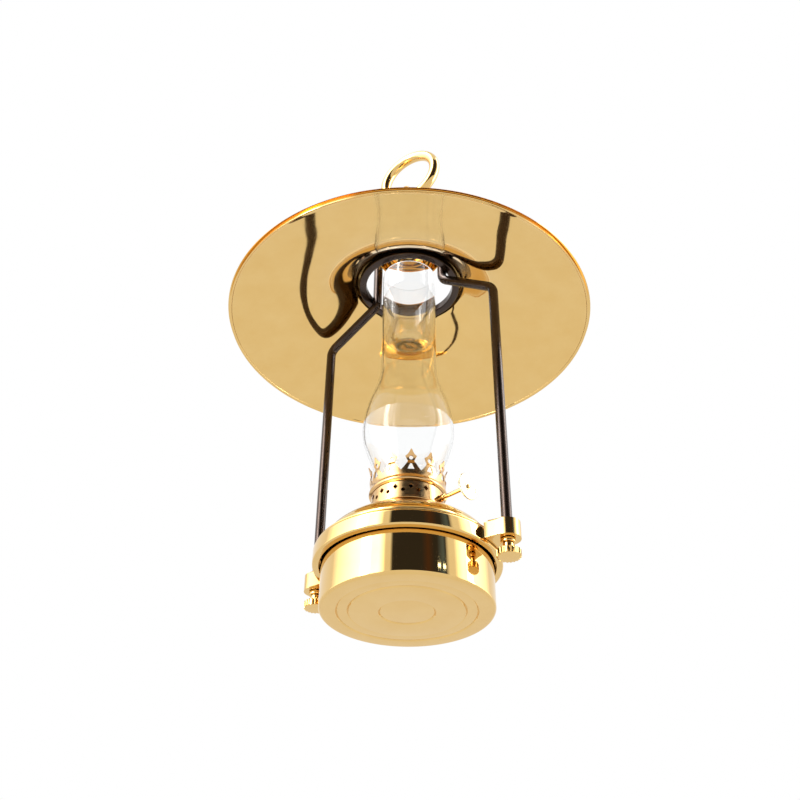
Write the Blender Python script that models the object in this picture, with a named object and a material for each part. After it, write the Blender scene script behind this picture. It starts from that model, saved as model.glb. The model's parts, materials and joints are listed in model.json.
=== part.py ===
"""Hanging oil lamp for a ship's cabin: brass tank, wick burner, glass chimney,
wide conical shade, smoke bell and hanging ring on a two-rod frame.

Metres, +Z up. The origin is the centre of the tank's flat bottom. The two rods
of the frame stand in the XZ plane, one on each side of the tank.
"""
import math

import bmesh
import bpy
from mathutils import Matrix, Vector

MM = 0.001
GAP = 0.3 * MM

# Tank
TANK_RADIUS = 50 * MM
TANK_WALL = 0.9 * MM
CUP_HEIGHT = 35.5 * MM
BOTTOM_EDGE = 1.8 * MM
DOME_FOOT = 36.6 * MM
DOME_RISE = 23.4 * MM
DOME_HOLE_RADIUS = 15.6 * MM
FLANGE_RADIUS = 54 * MM
FLOOR_STEP = 0.5 * MM
COLLAR_BOTTOM = 54.5 * MM
COLLAR_RADIUS = 17.6 * MM

# Carrier band with its two ears
BAND_INNER_RADIUS = 51 * MM
BAND_OUTER_RADIUS = 55 * MM
BAND_BOTTOM = 26.3 * MM
BAND_TOP = 35.9 * MM
LEDGE_INNER_RADIUS = 50.5 * MM
EAR_RADIUS = 7.5 * MM
EAR_BOTTOM = 28.5 * MM
EAR_TOP = 38.5 * MM

# Frame rods, ring and top
ARM_OFFSET = 64.9 * MM
ROD_RADIUS = 3.15 * MM
STUD_RADIUS = 2.0 * MM
STUD_END = 20.5 * MM
UPRIGHT_OFFSET = 26.6 * MM
SLANT_OUTER_HEIGHT = 215.1 * MM
SLANT_INNER_HEIGHT = 240.6 * MM
ARM_TOP_HEIGHT = 309 * MM
RING_INNER_RADIUS = 30.05 * MM
RING_OUTER_RADIUS = 35.3 * MM
RING_BOTTOM = 244.2 * MM
RING_TOP = 250.2 * MM
HUB_RADIUS = 8 * MM
HUB_BOTTOM = 300 * MM
HUB_TOP = 318 * MM

# Shade, smoke bell, hanging eye and ring
SHADE_RADIUS = 123.6 * MM
SHADE_RIM_HEIGHT = 211.5 * MM
SHADE_WALL = 0.9 * MM
BELL_RADIUS = 22.8 * MM
BELL_RIM_HEIGHT = 275 * MM
BELL_RISE = 21 * MM
EYE_HEIGHT = 337.8 * MM
EYE_RADIUS = 6.8 * MM
EYE_WIRE_RADIUS = 2.4 * MM
HANG_RING_RADIUS = 21.85 * MM
HANG_WIRE_RADIUS = 3.9 * MM

# Thumb nuts
NUT_BOTTOM = 17.4 * MM
NUT_HEAD_TOP = 21.8 * MM
NUT_HEAD_RADIUS = 7 * MM
NUT_NECK_RADIUS = 3.1 * MM
NUT_TOP = 25.6 * MM
NUT_FLUTES = 20
WASHER_RADIUS = 4.3 * MM

# Burner
COLLAR_TOP = 60.2 * MM
BASE_BOTTOM = 61.6 * MM
BASE_RADIUS = 23.3 * MM
PLUG_RADIUS = 12.8 * MM
PLUG_END = 53.5 * MM
DRUM_RADIUS = 22.3 * MM
DRUM_WALL = 0.5 * MM
DRUM_BOTTOM = 62.8 * MM
DRUM_TOP = 73.3 * MM
DRUM_HOLES = 30
ROUND_HOLE_HEIGHT = 67.4 * MM
ROUND_HOLE_RADIUS = 1.25 * MM
DIAMOND_HEIGHT = 69.8 * MM
DIAMOND_HALF_WIDTH = 1.7 * MM
DIAMOND_HALF_HEIGHT = 1.9 * MM
AIR_PLATE_HEIGHT = 71.2 * MM
GALLERY_BOTTOM = 73.7 * MM
GALLERY_RADIUS = 23.5 * MM
GALLERY_WALL = 0.55 * MM
PRONGS = 12
PRONG_PHASE = math.radians(6.4)
PRONG_TOP = 94 * MM
EYELET_HEIGHT = 88.9 * MM
EYELET_RADIUS = 1.35 * MM

# Wick, its tube and its winder
WINDER_ANGLE = math.radians(-10.7)
SPINDLE_OFFSET = 3.6 * MM
SPINDLE_HEIGHT = 66.5 * MM
SPINDLE_RADIUS = 1.2 * MM
SPROCKET_RADIUS = 2.2 * MM
KNOB_RADIUS = 8.2 * MM
KNOB_DISTANCE = 43.5 * MM
KNOB_THICKNESS = 1.1 * MM
WICK_WIDTH = 17 * MM
WICK_THICKNESS = 2.2 * MM
WICK_BOTTOM = 20 * MM
WICK_TOP = 89.5 * MM
TUBE_BOTTOM = 55 * MM
TUBE_TOP = 86 * MM
TUBE_WALL = 0.5 * MM

# Chimney
CHIMNEY_BASE = 74.6 * MM
CHIMNEY_LENGTH = 180 * MM
GLASS_WALL = 1.3 * MM

BIG = 36
MEDIUM = 24
SMALL = 12

BRASS = (0.83, 0.62, 0.28)
PALE_BRASS = (0.87, 0.76, 0.50)
BRONZE = (0.035, 0.026, 0.022)


# Building blocks

def clear_scene():
    for obj in list(bpy.data.objects):
        bpy.data.objects.remove(obj, do_unlink=True)


def make_material(name, color, roughness, metallic, alpha=1.0):
    material = bpy.data.materials.new(name)
    material.use_nodes = True
    shader = material.node_tree.nodes["Principled BSDF"]
    shader.inputs["Base Color"].default_value = (*color, 1.0)
    shader.inputs["Roughness"].default_value = roughness
    shader.inputs["Metallic"].default_value = metallic
    shader.inputs["Alpha"].default_value = alpha
    material.diffuse_color = (*color, alpha)
    return material


def finish(bm, name, material=None, smooth_angle=35):
    """Turn a bmesh into a named object with outward faces."""
    bmesh.ops.remove_doubles(bm, verts=bm.verts, dist=1e-7)
    bmesh.ops.recalc_face_normals(bm, faces=bm.faces)
    mesh = bpy.data.meshes.new(name)
    bm.to_mesh(mesh)
    bm.free()
    obj = bpy.data.objects.new(name, mesh)
    bpy.context.scene.collection.objects.link(obj)
    mesh.shade_smooth()
    mesh.set_sharp_from_angle(angle=math.radians(smooth_angle))
    if material:
        mesh.materials.append(material)
    return obj


def revolve(name, outline, material=None, steps=BIG):
    """Turn a closed outline of (radius, height) points about the Z axis."""
    bm = bmesh.new()
    rings = []
    for radius, height in outline:
        if radius < 1e-9:
            rings.append([bm.verts.new((0, 0, height))])
            continue
        ring = []
        for k in range(steps):
            angle = 2 * math.pi * k / steps
            ring.append(bm.verts.new((radius * math.cos(angle), radius * math.sin(angle), height)))
        rings.append(ring)
    for i, lower in enumerate(rings):
        upper = rings[(i + 1) % len(rings)]
        if len(lower) == 1 and len(upper) == 1:
            continue
        for k in range(steps):
            n = (k + 1) % steps
            if len(lower) == 1:
                bm.faces.new((lower[0], upper[k], upper[n]))
            elif len(upper) == 1:
                bm.faces.new((lower[k], upper[0], lower[n]))
            else:
                bm.faces.new((lower[k], upper[k], upper[n], lower[n]))
    return finish(bm, name, material)


def arc(center, radius, start, end, count):
    """Points on an arc in the (radius, height) plane, angles in degrees."""
    points = []
    for k in range(count + 1):
        angle = math.radians(start + (end - start) * k / count)
        points.append((center[0] + radius * math.cos(angle), center[1] + radius * math.sin(angle)))
    return points


def offset_outline(points, distance):
    """The same outline moved sideways by a distance, to its left as it runs."""
    moved = []
    for i, point in enumerate(points):
        before = Vector(points[max(i - 1, 0)])
        after = Vector(points[min(i + 1, len(points) - 1)])
        along = (after - before).normalized()
        moved.append((point[0] - along.y * distance, point[1] + along.x * distance))
    return moved


def prism(name, outline, bottom, top, material=None):
    """Extrude a flat outline of (x, y) points from bottom to top."""
    bm = bmesh.new()
    lower = [bm.verts.new((x, y, bottom)) for x, y in outline]
    upper = [bm.verts.new((x, y, top)) for x, y in outline]
    bm.faces.new(lower)
    bm.faces.new(upper)
    for k in range(len(outline)):
        n = (k + 1) % len(outline)
        bm.faces.new((lower[k], lower[n], upper[n], upper[k]))
    return finish(bm, name, material)


def cylinder(name, radius, start, end, material=None, steps=SMALL):
    """A round bar between two points."""
    start, end = Vector(start), Vector(end)
    obj = revolve(name, [(0, 0), (radius, 0), (radius, (end - start).length), (0, (end - start).length)],
                  material, steps)
    turn = Vector((0, 0, 1)).rotation_difference(end - start).to_matrix().to_4x4()
    obj.data.transform(Matrix.Translation(start) @ turn)
    return obj


def sweep(name, path, radii, steps, closed=False, material=None):
    """A round tube whose rings follow a path in the XZ plane."""
    bm = bmesh.new()
    rings = []
    count = len(path)
    for i, point in enumerate(path):
        before = path[(i - 1) % count] if closed or i else path[i]
        after = path[(i + 1) % count] if closed or i < count - 1 else path[i]
        along = (Vector(after) - Vector(before)).normalized()
        side = Vector((0, 1, 0))
        up = along.cross(side)
        ring = []
        for k in range(steps):
            angle = 2 * math.pi * k / steps
            outwards = math.cos(angle) * side + math.sin(angle) * up
            ring.append(bm.verts.new(Vector(point) + radii[i] * outwards))
        rings.append(ring)
    for i in range(count if closed else count - 1):
        first, second = rings[i], rings[(i + 1) % count]
        for k in range(steps):
            n = (k + 1) % steps
            bm.faces.new((first[k], first[n], second[n], second[k]))
    if not closed:
        bm.faces.new(rings[0])
        bm.faces.new(rings[-1])
    return finish(bm, name, material)


def as_cutter(obj):
    obj.hide_render = True
    obj.display_type = "WIRE"
    obj.hide_set(True)
    return obj


def combine(obj, other, operation):
    """Boolean with another object, which then serves as a guide only."""
    modifier = obj.modifiers.new(operation.title(), "BOOLEAN")
    modifier.operation = operation
    modifier.solver = "EXACT"
    modifier.object = as_cutter(other)
    return obj


def cut(obj, cutter):
    return combine(obj, cutter, "DIFFERENCE")


def bodies_joined(name, makers):
    """One object from several separate solids, for a cutter with many holes."""
    bm = bmesh.new()
    for make in makers:
        obj = make()
        bm.from_mesh(obj.data)
        bpy.data.objects.remove(obj, do_unlink=True)
    return finish(bm, name)


def around(obj, angle):
    obj.data.transform(Matrix.Rotation(angle, 4, "Z"))
    return obj


def radial_prism(outline, radius, angle):
    """A wedge that points outwards: outline in (distance along the wall, height)."""
    obj = prism("radial", outline, radius - 3 * MM, radius + 3 * MM)
    for vertex in obj.data.vertices:
        along, height, reach = vertex.co
        turn = angle + along / radius
        vertex.co = (reach * math.cos(turn), reach * math.sin(turn), height)
    return obj


def stadium(length, width, steps=6):
    """Flat tube outline: straight sides with round ends, about the origin."""
    radius = width / 2
    half = length / 2 - radius
    points = []
    for side in (1, -1):
        for k in range(steps + 1):
            angle = math.radians(-90 + 180 * k / steps)
            points.append((side * (half + radius * math.cos(angle)), side * radius * math.sin(angle)))
    return points


# Tank and carrier

def dome_height(radius):
    """Height of the dome's skin at a radius."""
    return DOME_FOOT + DOME_RISE * math.sqrt(1 - (radius / TANK_RADIUS) ** 2)


def bottom_outline():
    """Underside of the tank, from its centre outwards, with stamped rings."""
    ring_edges = (15.3 * MM, 32.9 * MM, 39.4 * MM)
    heights = (FLOOR_STEP, 0.0, FLOOR_STEP, 0.0)
    points = [(0, heights[0])]
    for edge, inside, outside in zip(ring_edges, heights, heights[1:]):
        points.append((edge, inside))
        points.append((edge + 0.8 * MM, outside))
    return points


def make_tank(brass):
    wall_inner = TANK_RADIUS - TANK_WALL
    floor_top = 1.6 * MM
    corner = (TANK_RADIUS - BOTTOM_EDGE, BOTTOM_EDGE)
    cup = [*bottom_outline(), *arc(corner, BOTTOM_EDGE, -90, 0, 4),
           (TANK_RADIUS, CUP_HEIGHT), (wall_inner, CUP_HEIGHT),
           (wall_inner, 3.0 * MM), (wall_inner - 1.5 * MM, floor_top), (0, floor_top)]
    revolve("tank_cup", cup, brass)

    # The dome ends in a flange that hangs on the carrier band's ledge.
    skin = []
    for degrees in range(0, 73, 12):
        radius = TANK_RADIUS * math.cos(math.radians(degrees))
        skin.append((radius, dome_height(radius)))
    skin.append((DOME_HOLE_RADIUS, dome_height(DOME_HOLE_RADIUS)))
    lining = [(max(r - 0.9 * TANK_WALL, DOME_HOLE_RADIUS), dome_height(r) - TANK_WALL) for r, _ in skin]
    lining[-1] = (DOME_HOLE_RADIUS, skin[-1][1] - TANK_WALL)
    flange = [(wall_inner - 0.2 * MM, CUP_HEIGHT + GAP), (FLANGE_RADIUS, BAND_TOP + GAP),
              (FLANGE_RADIUS, BAND_TOP + 1.2 * MM), (TANK_RADIUS + 0.6 * MM, BAND_TOP + 1.6 * MM)]
    dome = [*flange, *skin[1:], *reversed(lining[1:])]
    revolve("tank_dome", dome, brass)

    collar_inner = PLUG_RADIUS + GAP
    neck_radius = DOME_HOLE_RADIUS - GAP
    collar = [(collar_inner, COLLAR_BOTTOM), (neck_radius, COLLAR_BOTTOM), (neck_radius, COLLAR_TOP - MM),
              (COLLAR_RADIUS, COLLAR_TOP - MM), (COLLAR_RADIUS, COLLAR_TOP), (collar_inner, COLLAR_TOP)]
    revolve("tank_collar", collar, brass, MEDIUM)

    cork = make_material("cork", (0.16, 0.11, 0.07), 0.9, 0.0)
    gasket_inner = PLUG_RADIUS + 0.8 * MM
    gasket_outer = COLLAR_RADIUS - GAP
    gasket = [(gasket_inner, COLLAR_TOP + GAP), (gasket_outer, COLLAR_TOP + GAP),
              (gasket_outer, BASE_BOTTOM - GAP), (gasket_inner, BASE_BOTTOM - GAP)]
    revolve("burner_gasket", gasket, cork, MEDIUM)


def make_carrier(brass):
    edge = 0.6 * MM
    band = [(BAND_INNER_RADIUS, BAND_BOTTOM), (BAND_OUTER_RADIUS - edge, BAND_BOTTOM),
            (BAND_OUTER_RADIUS, BAND_BOTTOM + edge), (BAND_OUTER_RADIUS, BAND_TOP - edge),
            (BAND_OUTER_RADIUS - edge, BAND_TOP), (LEDGE_INNER_RADIUS, BAND_TOP),
            (LEDGE_INNER_RADIUS, BAND_TOP - MM), (BAND_INNER_RADIUS, BAND_TOP - 1.6 * MM)]
    revolve("carrier_band", band, brass)
    for side, name in ((-1, "left"), (1, "right")):
        root = BAND_OUTER_RADIUS + GAP
        corners = []
        for k in range(9):
            y = EAR_RADIUS - 2 * EAR_RADIUS * k / 8
            flare = 1.0 + 0.12 * abs(y / EAR_RADIUS) ** 3
            corners.append((math.sqrt(root ** 2 - (y * flare) ** 2), y * flare))
        outline = [(side * x, side * y) for x, y in corners]
        for k in range(13):
            angle = math.radians(-90 + 15 * k)
            reach = ARM_OFFSET + EAR_RADIUS * math.cos(angle)
            outline.append((side * reach, side * EAR_RADIUS * math.sin(angle)))
        ear = prism("ear_" + name, outline, EAR_BOTTOM, EAR_TOP, brass)
        hole = cylinder("ear_hole_" + name, STUD_RADIUS + GAP, (side * ARM_OFFSET, 0, EAR_BOTTOM - MM),
                        (side * ARM_OFFSET, 0, EAR_TOP + MM))
        cut(ear, hole)


def flute_outline(radius, flutes, depth):
    """Round outline with shallow flutes, one valley for each flute."""
    points = []
    for k in range(flutes):
        for share, sink in ((0.0, 0.0), (0.5, 0.0), (0.62, depth), (0.88, depth)):
            angle = 2 * math.pi * (k + share) / flutes
            points.append(((radius - sink) * math.cos(angle), (radius - sink) * math.sin(angle)))
    return points


def make_nuts(brass):
    for side, name in ((-1, "left"), (1, "right")):
        place = Matrix.Translation((side * ARM_OFFSET, 0, 0))
        bore = STUD_RADIUS + GAP
        washer = [(bore, NUT_TOP + GAP), (WASHER_RADIUS, NUT_TOP + GAP), (WASHER_RADIUS, EAR_BOTTOM - GAP),
                  (bore, EAR_BOTTOM - GAP)]
        revolve("washer_" + name, washer, brass, SMALL).data.transform(place)
        head = prism("thumb_nut_" + name, flute_outline(NUT_HEAD_RADIUS, NUT_FLUTES, 0.6 * MM),
                     NUT_BOTTOM, NUT_HEAD_TOP, brass)
        head.data.transform(place)
        neck = revolve("nut_neck_" + name, [(0, NUT_HEAD_TOP - MM), (NUT_NECK_RADIUS, NUT_HEAD_TOP - MM),
                                            (NUT_NECK_RADIUS, NUT_TOP), (0, NUT_TOP)], None, SMALL)
        neck.data.transform(place)
        hole = cylinder("nut_bore_" + name, bore, (side * ARM_OFFSET, 0, NUT_BOTTOM + 1.6 * MM),
                        (side * ARM_OFFSET, 0, NUT_TOP + MM))
        combine(head, neck, "UNION")
        cut(head, hole)


# Frame

def fillet(corner, before, after, radius, count):
    """Arc that rounds a corner of a path."""
    corner, before, after = Vector(corner), Vector(before), Vector(after)
    back = (before - corner).normalized()
    ahead = (after - corner).normalized()
    half = back.angle(ahead) / 2
    center = corner + (back + ahead).normalized() * radius / math.sin(half)
    first = (corner + back * radius / math.tan(half) - center).normalized()
    last = (corner + ahead * radius / math.tan(half) - center).normalized()
    return [center + radius * first.slerp(last, k / count) for k in range(count + 1)]


def arm_path(side):
    corners = [Vector((side * x, 0, z)) for x, z in (
        (ARM_OFFSET, EAR_TOP + GAP), (ARM_OFFSET, SLANT_OUTER_HEIGHT), (UPRIGHT_OFFSET, SLANT_INNER_HEIGHT),
        (UPRIGHT_OFFSET, ARM_TOP_HEIGHT), (4.5 * MM, ARM_TOP_HEIGHT))]
    path = [corners[0]]
    for k, radius in ((1, 9 * MM), (2, 8 * MM), (3, 10 * MM)):
        path += fillet(corners[k], corners[k - 1], corners[k + 1], radius, 7)
    path.append(corners[-1])
    return path


def make_frame(bronze, brass):
    for side, name in ((-1, "left"), (1, "right")):
        rod = arm_path(side)
        shoulder = rod[0].copy()
        rod[0].z += 0.01 * MM
        stud_end = Vector((shoulder.x, 0, STUD_END))
        radii = [STUD_RADIUS] * 2 + [ROD_RADIUS] * len(rod)
        sweep("arm_" + name, [stud_end, shoulder, *rod], radii, 10, material=bronze)
    edge = 0.9 * MM
    ring = [(RING_INNER_RADIUS, RING_BOTTOM + edge), (RING_INNER_RADIUS + edge, RING_BOTTOM),
            (RING_OUTER_RADIUS - edge, RING_BOTTOM), (RING_OUTER_RADIUS, RING_BOTTOM + edge),
            (RING_OUTER_RADIUS, RING_TOP), (RING_INNER_RADIUS, RING_TOP)]
    revolve("shade_ring", ring, bronze)

    hub = [(0, HUB_BOTTOM), (HUB_RADIUS - MM, HUB_BOTTOM), (HUB_RADIUS, HUB_BOTTOM + MM),
           (HUB_RADIUS, HUB_TOP - MM), (HUB_RADIUS - MM, HUB_TOP), (0, HUB_TOP)]
    hub = revolve("frame_hub", hub, brass, MEDIUM)
    cut(hub, cylinder("hub_cross_hole", ROD_RADIUS + GAP, (-2 * HUB_RADIUS, 0, ARM_TOP_HEIGHT),
                      (2 * HUB_RADIUS, 0, ARM_TOP_HEIGHT)))
    cut(hub, cylinder("hub_screw_hole", 2.3 * MM, (0, 0, HUB_BOTTOM - MM), (0, 0, HUB_TOP + MM)))


def make_shade(brass):
    # Underside, from the rolled rim over the raised crown to the seat on the frame ring.
    seat = RING_TOP + GAP
    under = [(92 * MM, 217.4 * MM), (78 * MM, 220.7 * MM), (68 * MM, 224.1 * MM), (60 * MM, 227.9 * MM),
             (52 * MM, 233.3 * MM), (38.8 * MM, 244.2 * MM), (37 * MM, 246 * MM), (37 * MM, seat),
             (31.5 * MM, seat)]
    roll_radius = 1.6 * MM
    roll = (SHADE_RADIUS - roll_radius, SHADE_RIM_HEIGHT)
    slope = math.atan2(under[0][1] - SHADE_RIM_HEIGHT, SHADE_RADIUS - under[0][0])
    lower_side = 180 + 90 - math.degrees(slope)
    rolled = arc(roll, roll_radius, lower_side + 15, lower_side - 215, 5)
    cone_foot = (SHADE_RADIUS - 4.2 * MM, SHADE_RIM_HEIGHT + 4.2 * MM * math.tan(slope) - 0.6 * MM)
    under.insert(0, cone_foot)
    over = offset_outline(under, -SHADE_WALL)
    shade = [*under, *reversed(over), *reversed(rolled)]
    revolve("shade", shade, brass)


def make_bell(brass):
    outer = [(BELL_RADIUS, BELL_RIM_HEIGHT)]
    for degrees in range(0, 90, 15):
        angle = math.radians(degrees)
        outer.append((0.9 * MM + (BELL_RADIUS - 1.8 * MM) * math.cos(angle),
                      BELL_RIM_HEIGHT + 1.4 * MM + (BELL_RISE - 1.4 * MM) * math.sin(angle)))
    outer.append((2.4 * MM, BELL_RIM_HEIGHT + BELL_RISE))
    inner = [(max(r - 0.85 * MM, 2.4 * MM), h - 0.85 * MM) for r, h in outer[1:]]
    inner[-1] = (2.4 * MM, BELL_RIM_HEIGHT + BELL_RISE - 0.85 * MM)
    rim = [(BELL_RADIUS - 1.6 * MM, BELL_RIM_HEIGHT - 0.3 * MM),
           (BELL_RADIUS - 0.4 * MM, BELL_RIM_HEIGHT - 0.5 * MM)]
    revolve("smoke_bell", [*rim, *outer, *reversed(inner)], brass, MEDIUM)

    top = BELL_RIM_HEIGHT + BELL_RISE
    bore, spacer_radius = 2.4 * MM, 5 * MM
    spacer = [(bore, top + GAP), (spacer_radius, top + GAP), (spacer_radius, HUB_BOTTOM - GAP),
              (bore, HUB_BOTTOM - GAP)]
    revolve("bell_spacer", spacer, brass, SMALL)
    head_top = top - 0.85 * MM - 3 * GAP
    screw = [(0, head_top - 2.2 * MM), (2.6 * MM, head_top - 2.0 * MM), (4 * MM, head_top - 0.9 * MM),
             (4 * MM, head_top), (2 * MM, head_top), (2 * MM, ARM_TOP_HEIGHT + 3.2 * MM),
             (0, ARM_TOP_HEIGHT + 3.2 * MM)]
    revolve("bell_screw", screw, brass, SMALL)


def wire_ring(name, radius, wire_radius, count, material=None):
    """A ring of round wire about the origin, in the XZ plane."""
    circle = []
    for k in range(count):
        angle = 2 * math.pi * k / count
        circle.append(Vector((radius * math.cos(angle), 0, radius * math.sin(angle))))
    return sweep(name, circle, [wire_radius] * count, 8, closed=True, material=material)


def make_hanger(brass):
    pin, flange, neck = 2 * MM, 5.5 * MM, 3 * MM
    neck_top = EYE_HEIGHT - EYE_RADIUS
    stem = [(0, HUB_TOP - 5 * MM), (pin, HUB_TOP - 5 * MM), (pin, HUB_TOP + GAP), (flange, HUB_TOP + GAP),
            (flange, HUB_TOP + 3 * MM), (neck, HUB_TOP + 5 * MM), (neck, neck_top), (0, neck_top)]
    stem = revolve("hanging_eye", stem, brass, SMALL)
    eye = wire_ring("eye_loop", EYE_RADIUS, EYE_WIRE_RADIUS, 20)
    eye.data.transform(Matrix.Translation((0, 0, EYE_HEIGHT)) @ Matrix.Rotation(math.radians(90), 4, "Z"))
    combine(stem, eye, "UNION")

    ring = wire_ring("hanging_ring", HANG_RING_RADIUS, HANG_WIRE_RADIUS, 30, brass)
    ring.location = (0, 0, EYE_HEIGHT + HANG_RING_RADIUS)


# Burner

def make_burner_body(brass):
    floor_top = BASE_BOTTOM + 0.8 * MM
    base = [(PLUG_RADIUS - 1.2 * MM, PLUG_END), (PLUG_RADIUS, PLUG_END), (PLUG_RADIUS, BASE_BOTTOM),
            (BASE_RADIUS, BASE_BOTTOM), (BASE_RADIUS, floor_top + 0.6 * MM),
            (BASE_RADIUS - 0.5 * MM, floor_top + 0.6 * MM), (BASE_RADIUS - 0.7 * MM, floor_top),
            (PLUG_RADIUS - 1.2 * MM, floor_top)]
    revolve("burner_base", base, brass, MEDIUM)

    drum = [(DRUM_RADIUS - DRUM_WALL, DRUM_BOTTOM), (DRUM_RADIUS, DRUM_BOTTOM),
            (DRUM_RADIUS, DRUM_TOP), (DRUM_RADIUS - DRUM_WALL, DRUM_TOP)]
    drum = revolve("burner_drum", drum, brass, 30)
    pitch = 2 * math.pi / DRUM_HOLES
    round_hole = arc((0, ROUND_HOLE_HEIGHT), ROUND_HOLE_RADIUS, 0, 300, 5)
    diamond = [(DIAMOND_HALF_WIDTH, DIAMOND_HEIGHT), (0, DIAMOND_HEIGHT + DIAMOND_HALF_HEIGHT),
               (-DIAMOND_HALF_WIDTH, DIAMOND_HEIGHT), (0, DIAMOND_HEIGHT - DIAMOND_HALF_HEIGHT)]
    makers = []
    for k in range(DRUM_HOLES):
        angle = PRONG_PHASE + k * pitch
        away = (angle - WINDER_ANGLE + math.pi) % (2 * math.pi) - math.pi
        if abs(away) < 1.1 * pitch:
            continue
        outline = diamond if k % 2 else round_hole
        makers.append(lambda o=outline, a=angle: radial_prism(o, DRUM_RADIUS, a))
    cut(drum, bodies_joined("drum_perforations", makers))
    return drum


def winder_frame():
    """Placement whose X axis runs out along the winder's spindle."""
    turn = Matrix.Rotation(WINDER_ANGLE, 4, "Z")
    return turn @ Matrix.Translation((0, SPINDLE_OFFSET, SPINDLE_HEIGHT))


def make_air_plate(brass):
    height = AIR_PLATE_HEIGHT
    thickness = 0.6 * MM
    radius = DRUM_RADIUS - DRUM_WALL - GAP
    disc = [(0, height), (radius, height), (radius, height + thickness), (0, height + thickness)]
    plate = revolve("air_plate", disc, brass, MEDIUM)
    outline = stadium(WICK_WIDTH + 4 * MM, WICK_THICKNESS + 3.2 * MM)
    slot = prism("plate_slot", outline, height - MM, height + 2 * MM)
    cut(plate, around(slot, WINDER_ANGLE))

    vents = 12
    vent_circle = 15.5 * MM
    vent_radius = 1.4 * MM

    def make_vent(turn):
        vent = cylinder("vent", vent_radius, (vent_circle, 0, height - MM), (vent_circle, 0, height + 2 * MM),
                        None, 6)
        return around(vent, turn)

    turns = [2 * math.pi * (k + 0.5) / vents for k in range(vents)]
    cut(plate, bodies_joined("plate_vents", [lambda t=turn: make_vent(t) for turn in turns]))


def gallery_skin():
    """Outer side of the gallery from its floor up to the prongs' tips."""
    return [(GALLERY_RADIUS - 1.1 * MM, GALLERY_BOTTOM),
            (GALLERY_RADIUS + 0.2 * MM, GALLERY_BOTTOM + 1.4 * MM),
            (GALLERY_RADIUS - 0.6 * MM, GALLERY_BOTTOM + 4.8 * MM),
            (GALLERY_RADIUS - 0.2 * MM, 84.5 * MM),
            (GALLERY_RADIUS - 0.9 * MM, 88 * MM),
            (GALLERY_RADIUS + 0.9 * MM, PRONG_TOP)]


def make_gallery(brass):
    skin = gallery_skin()
    lining = offset_outline(skin, GALLERY_WALL)
    lining[0] = (GALLERY_RADIUS - 1.1 * MM, GALLERY_BOTTOM + GALLERY_WALL)
    hole = 13.5 * MM
    outline = [(hole, GALLERY_BOTTOM), *skin, *reversed(lining), (hole, GALLERY_BOTTOM + GALLERY_WALL)]
    gallery = revolve("gallery", outline, brass, MEDIUM)
    half_pitch = math.pi * GALLERY_RADIUS / PRONGS
    tip = half_pitch - 0.3 * MM
    head, waist = 3.4 * MM, 2.5 * MM
    valley = [(0, 80.6 * MM), (half_pitch - 4.3 * MM, 82.6 * MM), (half_pitch - waist, 86 * MM),
              (half_pitch - waist, 87 * MM), (half_pitch - head, 90.2 * MM),
              (half_pitch - head + 0.7 * MM, 91.6 * MM), (tip, PRONG_TOP)]
    gap = [*valley, (tip, PRONG_TOP + 2 * MM)]
    gap += [(-x, z) for x, z in reversed(gap[1:])]
    window = [(-2.3 * MM, 80.9 * MM), (2.3 * MM, 80.9 * MM), (0.35 * MM, 84.9 * MM), (-0.35 * MM, 84.9 * MM)]
    eyelet = arc((0, EYELET_HEIGHT), EYELET_RADIUS, 0, 300, 5)
    makers = []
    for k in range(PRONGS):
        angle = PRONG_PHASE + 2 * math.pi * k / PRONGS
        makers.append(lambda a=angle: radial_prism(gap, GALLERY_RADIUS, a + math.pi / PRONGS))
        makers.append(lambda a=angle: radial_prism(window, GALLERY_RADIUS, a))
        makers.append(lambda a=angle: radial_prism(eyelet, GALLERY_RADIUS, a))
    cut(gallery, bodies_joined("gallery_cuts", makers))


def make_flame_spreader(brass):
    foot = GALLERY_BOTTOM + GALLERY_WALL + GAP
    skin = [(17.2 * MM, foot), (15.8 * MM, foot + 1.5 * MM), (15.2 * MM, foot + 6 * MM),
            (13.6 * MM, foot + 10.5 * MM), (10 * MM, foot + 13.8 * MM), (5 * MM, foot + 15.6 * MM)]
    wall = 0.6 * MM
    lining = [(r - wall, h - (0.0 if k == 0 else 0.45 * MM)) for k, (r, h) in enumerate(skin)]
    top = [(0, foot + 16 * MM), (0, foot + 16 * MM - wall)]
    spreader = revolve("flame_spreader", [*skin, *top, *reversed(lining)], brass, MEDIUM)
    slot = prism("spreader_slot", stadium(WICK_WIDTH + 3.2 * MM, WICK_THICKNESS + 3.4 * MM),
                 foot + 11 * MM, foot + 18 * MM)
    cut(spreader, around(slot, WINDER_ANGLE))


def make_wick_tube(brass):
    outer = stadium(WICK_WIDTH + 2 * (GAP + TUBE_WALL), WICK_THICKNESS + 2 * (GAP + TUBE_WALL))
    inner = stadium(WICK_WIDTH + 2 * GAP, WICK_THICKNESS + 2 * GAP)
    tube = prism("wick_tube", outer, TUBE_BOTTOM, TUBE_TOP, brass)
    around(tube, WINDER_ANGLE)
    cut(tube, around(prism("tube_bore", inner, TUBE_BOTTOM - MM, TUBE_TOP + MM), WINDER_ANGLE))
    makers = [lambda x=x: window_block(x) for x in sprocket_places()]
    cut(tube, bodies_joined("tube_windows", makers))


def window_block(place):
    """Cutter for the tube's window in front of one sprocket."""
    half = MM
    outline = [(place - half, -3 * half), (place + half, -3 * half),
               (place + half, half), (place - half, half)]
    block = prism("window", outline, -2.6 * MM, 2.6 * MM)
    block.data.transform(winder_frame())
    return block


def sprocket_places():
    return (-4.5 * MM, 4.5 * MM)


def make_wick():
    cotton = make_material("cotton", (0.86, 0.83, 0.76), 0.95, 0.0)
    outline = stadium(WICK_WIDTH, WICK_THICKNESS)
    around(prism("wick", outline, WICK_BOTTOM, WICK_TOP, cotton), WINDER_ANGLE)


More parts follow.
